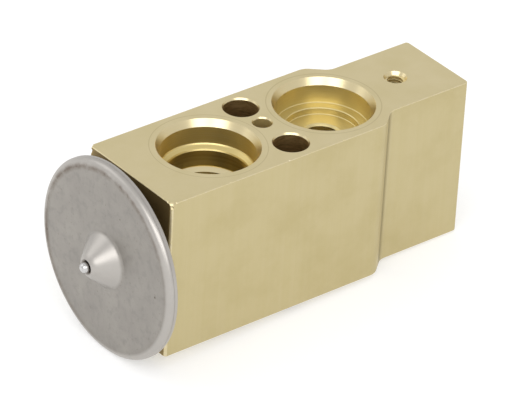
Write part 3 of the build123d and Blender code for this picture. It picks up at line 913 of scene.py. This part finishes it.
def build_block():
    """The dressed block: the blank less every tool shape, each surface with its own finish."""
    block = block_blank()
    tools = [*port_tools(), *screw_hole_tools(), *mouth_tools(), *valve_bore_tools(), *worn_spots()]
    for shape in tools:
        combine(block, "DIFFERENCE", shape)
    settle(block, tools, 20.0)
    flatten_normals(block)
    hand_over(block, "block", "chromated_block", "valve_body")


# ---------------------------------------------------------------- power head


def head_cover():
    """Cover sheet: flat face, rim rolled over as a quarter ellipse, conical dome with a round
    cap and a countersunk hole for the charge ball."""
    cap_r = (DOME_HEIGHT - DOME_R * np.tan(DOME_SLOPE)) / (
        np.tan(DOME_SLOPE / 2) - np.tan(DOME_SLOPE)
    )
    sphere = cap_r / np.sin(DOME_SLOPE)
    sphere_x = COVER_FACE - DOME_HEIGHT + sphere
    seam_x = COVER_HIGH[0]
    turn = np.linspace(np.pi / 2, 0, 14)
    roll = [
        (seam_x - (seam_x - COVER_FACE) * np.cos(t), HEAD_R - RIM_ROLL + RIM_ROLL * np.sin(t))
        for t in turn
    ]
    outer_edge = np.arcsin((BALL_SEAT_R + COVER_SHEET) / sphere)
    cap = [
        (sphere_x - sphere * np.cos(t), sphere * np.sin(t))
        for t in np.linspace(DOME_SLOPE, outer_edge, 10)
    ]
    under = sphere - COVER_SHEET
    inner_edge = np.arcsin(BALL_SEAT_R / under)
    inner_cap = [
        (sphere_x - under * np.cos(t), under * np.sin(t))
        for t in np.linspace(inner_edge, DOME_SLOPE, 10)
    ]
    root = rounded(
        [roll[-1], (COVER_FACE, DOME_R), cap[0]], [0, DOME_ROOT_ROUND, 0], steps=8, closed=False
    )
    inside_r = DOME_R - COVER_SHEET * np.tan(DOME_SLOPE / 2)
    inside_x = COVER_FACE + COVER_SHEET
    free_r = HEAD_R - SEAM_WIDTH
    inner_root = rounded(
        [inner_cap[-1], (inside_x, inside_r), (inside_x, free_r - COVER_RECESS)],
        [0, DOME_ROOT_ROUND + COVER_SHEET, 0],
        steps=8,
        closed=False,
    )
    seam = [
        (seam_x, free_r),
        (seam_x, HEAD_R - WELD_DEPTH),
        (HOUSING_LOW[0], HEAD_R - WELD_DEPTH),
        (HOUSING_LOW[0], HEAD_R - WELD_GROOVE),
    ]
    profile = [*roll, *root[1:], *cap[1:], *inner_cap, *inner_root[1:], *seam]
    return lathe("head_cover_sheet", profile, VALVE_AXIS, ALONG, 256, closed=True, smooth_angle=40)


def head_housing():
    """Housing sheet: flange, conical dish, floor and the neck that screws into the block."""
    seam_x = HOUSING_LOW[0]
    flange = seam_x + HOUSING_SHEET
    free_r = HEAD_R - SEAM_WIDTH
    profile = [
        (seam_x, HEAD_R),
        (flange, HEAD_R),
        (flange, free_r + HOUSING_SHEET),
        (HOUSING_REAR, HOUSING_FLOOR_R),
        (HOUSING_REAR, NECK_WALL_R),
        (HOUSING_HIGH[0] - NECK_CHAMFER, NECK_WALL_R),
        (HOUSING_HIGH[0], NECK_WALL_R - NECK_CHAMFER),
        (HOUSING_HIGH[0], NECK_BORE_R),
        (HOUSING_REAR - HOUSING_SHEET, NECK_BORE_R),
        (HOUSING_REAR - HOUSING_SHEET, HOUSING_FLOOR_R - HOUSING_SHEET),
        (seam_x, free_r),
    ]
    radii = [0, REAR_ROUND, 0.6, 0.6, 0, 0, 0, 0.1, 0.1, 0.5, 0]
    return lathe(
        "head_housing_sheet", rounded(profile, radii, steps=6), VALVE_AXIS, ALONG, 256, closed=True
    )


def charge_ball():
    """Ball that closes the fill hole: (along, radius) = BALL_R * (-cos t, sin t)."""
    centre = (BALL_LOW + BALL_HIGH) / 2
    turn = np.linspace(0, np.pi, 33)
    profile = np.column_stack([-BALL_R * np.cos(turn), BALL_R * np.sin(turn)])
    return lathe("charge_ball_bright", profile, centre, ALONG, 64)


def build_power_head():
    """Cover, housing and charge ball, each in its finish, in place of their nodes."""
    cover, housing, ball = head_cover(), head_housing(), charge_ball()
    cover.data.materials.append(STEEL)
    housing.data.materials.append(STEEL)
    ball.data.materials.append(BRIGHT)
    hand_over(cover, "block", "head_sheet", "head_cover")
    hand_over(housing, "block", "head_sheet", "head_housing")
    hand_over(ball, "block", "bright_steel", "charge_ball")


# ---------------------------------------------------------------- spring and adjuster


def spring_half(name, first_turn, last_turn):
    """Helical wire from one turn to another: point(s, t) lies SPRING_WIRE from the helix
    (x, coil cos a, coil sin a) across its run, and x is clipped to the spring's ground ends."""
    overrun = SPRING_WIRE
    share = np.linspace(first_turn, last_turn, int((last_turn - first_turn) * 48))[:, None]
    turn = 2 * np.pi * share
    around = np.linspace(0, 2 * np.pi, 16, endpoint=False)[None, :]
    length = SPRING_HIGH[0] - SPRING_LOW[0] + 2 * overrun
    rise = length / (2 * np.pi * SPRING_TURNS)
    slope = np.arctan2(rise, SPRING_COIL_R)
    across = SPRING_COIL_R + SPRING_WIRE * np.cos(around)
    aside = SPRING_WIRE * np.sin(around)
    x = SPRING_LOW[0] - overrun + rise * turn + aside * np.cos(slope)
    y = across * np.cos(turn) + aside * np.sin(slope) * np.sin(turn)
    z = across * np.sin(turn) - aside * np.sin(slope) * np.cos(turn)
    x = np.clip(x, SPRING_LOW[0], SPRING_HIGH[0])
    points = np.stack(np.broadcast_arrays(x, y, AXIS_Z + z), -1)
    rows, columns = points.shape[:2]
    faces = grid_faces(rows, columns)
    faces += [list(range(columns)), list(range((rows - 1) * columns, rows * columns))]
    half = write_mesh(name, points.reshape(-1, 3), faces, 50)
    half.data.materials.append(BRIGHT)
    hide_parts("superheat_spring")
    return half


def build_superheat_spring():
    """Two halves of one coil, the ball's half and the screw's half, which meet at its middle turn."""
    middle_turn = SPRING_TURNS / 2
    ball_half = spring_half("superheat_coil_ball_half", 0, middle_turn)
    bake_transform(ball_half)
    screw_half = spring_half("superheat_coil_screw_half", middle_turn, SPRING_TURNS)
    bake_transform(screw_half)


def hexagon_socket():
    """Six-sided key hole: corners at flats / 2 / cos 30 degrees, every 60 degrees."""
    corner_angle = np.arange(6) * np.pi / 3
    corner_r = SCREW_KEY / 2 / np.cos(np.pi / 6)
    ends = np.array([SCREW_HIGH[0] - SCREW_KEY_DEPTH, SCREW_HIGH[0] + 1.0])[:, None]
    points = ring_points(
        np.broadcast_to(ends, (2, 6)), np.full((2, 6), corner_r), corner_angle[None, :], VALVE_AXIS, ALONG
    )
    faces = grid_faces(2, 6) + [list(range(6)), list(range(6, 12))]
    return write_mesh("hexagon_socket", points.reshape(-1, 3), faces)


def build_adjuster_screw():
    """Adjuster: nose with its seal groove, threaded end in step with the block's own thread,
    and a hexagon socket."""
    thread_start = SCREW_HIGH[0] - SCREW_THREAD_LENGTH
    nose_front = SCREW_LOW[0] + SCREW_BOSS_LENGTH
    groove = nose_front + SCREW_LAND
    groove_end = groove + SCREW_GROOVE_WIDTH
    core_r = SCREW_THREAD_R - THREAD_DEPTH_SHARE * SCREW_PITCH
    nose = [
        (SCREW_LOW[0], 0.0),
        (SCREW_LOW[0], SCREW_BOSS_R),
        (nose_front, SCREW_BOSS_R),
        (nose_front, SCREW_NOSE_R),
        (groove, SCREW_NOSE_R),
        (groove, SCREW_GROOVE_R),
        (groove_end, SCREW_GROOVE_R),
        (groove_end, SCREW_NOSE_R),
        (thread_start - SCREW_RELIEF, SCREW_NOSE_R),
        (thread_start, core_r),
        (SCREW_HIGH[0] - SCREW_BREAK, core_r),
        (SCREW_HIGH[0], core_r - SCREW_BREAK),
        (SCREW_HIGH[0], 0.0),
    ]
    limits = [
        (thread_start, 0.0),
        (thread_start, core_r),
        (thread_start + SCREW_LEAD, SCREW_THREAD_R),
        (SCREW_HIGH[0] - SCREW_LEAD, SCREW_THREAD_R),
        (SCREW_HIGH[0], SCREW_THREAD_R - SCREW_LEAD),
        (SCREW_HIGH[0], 0.0),
    ]
    screw = lathe("adjuster_body", nose, VALVE_AXIS, ALONG, 144)
    envelope = lathe("adjuster_envelope", limits, VALVE_AXIS, ALONG, 144)
    ridge = thread(
        "adjuster_ridge",
        SCREW_BORE_START,
        FAR_END - SCREW_BORE_START,
        SCREW_THREAD_R - THREAD_GAP,
        core_r - THREAD_ROOT_OVERLAP,
        SCREW_PITCH,
        VALVE_AXIS,
        ALONG,
        steps=144,
    )
    socket = hexagon_socket()
    for shape in (screw, ridge, envelope, socket):
        shape.data.materials.append(BRASS)
    combine(ridge, "INTERSECT", envelope)
    settle(ridge, [envelope])
    combine(screw, "UNION", ridge)
    combine(screw, "DIFFERENCE", socket)
    settle(screw, [ridge, socket])
    flatten_normals(screw)
    hand_over(screw, "adjuster", "turned_brass", "adjuster_screw")


# ---------------------------------------------------------------- camera and light


LAMP_DISTANCE = 0.9


def soft_box(name, azimuth, height_angle, width, height, watts):
    """Rectangular lamp LAMP_DISTANCE metres from the origin, turned to the valve axis."""
    data = bpy.data.lights.new(name, "AREA")
    data.shape = "RECTANGLE"
    data.size = width
    data.size_y = height
    data.energy = watts
    lamp = bpy.data.objects.new(name, data)
    bpy.context.scene.collection.objects.link(lamp)
    level = np.cos(height_angle)
    lamp.location = LAMP_DISTANCE * Vector(
        (level * np.cos(azimuth), level * np.sin(azimuth), np.sin(height_angle))
    )
    aim = Vector((0, 0, AXIS_Z * MM)) - lamp.location
    lamp.rotation_euler = aim.to_track_quat("-Z", "Y").to_euler()


def studio():
    """Pale floor that the part rests on, white surroundings and a soft box on each side of
    the camera."""
    tilt = np.arctan2(-COVER_LOW[2], FAR_END - COVER_LOW[0])
    floor_mesh = bpy.data.meshes.new("floor")
    span = 2.5
    floor_mesh.from_pydata(
        [(-span, -span, 0), (span, -span, 0), (span, span, 0), (-span, span, 0)], [], [(0, 1, 2, 3)]
    )
    floor = bpy.data.objects.new("floor", floor_mesh)
    bpy.context.scene.collection.objects.link(floor)
    touch = Vector((COVER_HIGH[0] * MM, 0, COVER_LOW[2] * MM))
    floor.matrix_world = Matrix.Translation(touch) @ Matrix.Rotation(-tilt, 4, "Y")
    white = bpy.data.materials.new("studio_white")
    white.use_nodes = True
    shader = white.node_tree.nodes["Principled BSDF"]
    shader.inputs["Base Color"].default_value = rgb(0.62, 0.62, 0.62)
    shader.inputs["Roughness"].default_value = 0.9
    shader.inputs["Emission Color"].default_value = rgb(1, 1, 1)
    shader.inputs["Emission Strength"].default_value = 0.42
    floor.data.materials.append(white)

    world = bpy.data.worlds.new("studio")
    bpy.context.scene.world = world
    world.use_nodes = True
    background = world.node_tree.nodes["Background"]
    background.inputs["Color"].default_value = rgb(1, 1, 1)
    background.inputs["Strength"].default_value = 0.88
    facing = np.arctan2(-0.7635, -0.6458)
    for name, side, width, watts in (
        ("far_left_box", -100, 0.60, 0.7),
        ("left_box", -21, 0.50, 1.8),
        ("right_box", 21, 0.50, 1.8),
    ):
        soft_box(name, facing + np.radians(side), np.radians(33), width, 0.50, watts)


def camera():
    """Long lens from the power head's end, a little above the block."""
    place = Vector((-485.43, -574.39, 489.06)) * MM
    forward = Vector((0.5472, 0.6469, -0.5311)).normalized()
    up = Vector((0.2972, 0.4431, 0.8458))
    right = forward.cross(up).normalized()
    up = right.cross(forward)
    data = bpy.data.cameras.new("camera")
    data.sensor_width = 36.0
    data.lens = 308.0
    eye = bpy.data.objects.new("camera", data)
    bpy.context.scene.collection.objects.link(eye)
    turn = Matrix((right, up, -forward)).transposed().to_4x4()
    eye.matrix_world = Matrix.Translation(place) @ turn
    bpy.context.scene.camera = eye


def finish_inner_pieces():
    """Gives the carried-over pieces their finish."""
    finishes = {
        "diaphragm": BRIGHT,
        "head_seal": RUBBER,
        "stop_plate": TURNED,
        "sensing_rod": TURNED,
        "rod_seal": RUBBER,
        "seal_retainer": BRIGHT,
        "push_pin": BRIGHT,
        "valve_ball": BRIGHT,
        "ball_carrier": BRASS,
        "damping_clip": BRIGHT,
        "adjuster_seal": RUBBER,
    }
    for node, material in finishes.items():
        for slot in frame["nodes"][node].material_slots:
            slot.material = material


bpy.context.scene.view_settings.view_transform = "Standard"
camera()
studio()
build_block()
build_power_head()
build_superheat_spring()
build_adjuster_screw()
finish_inner_pieces()
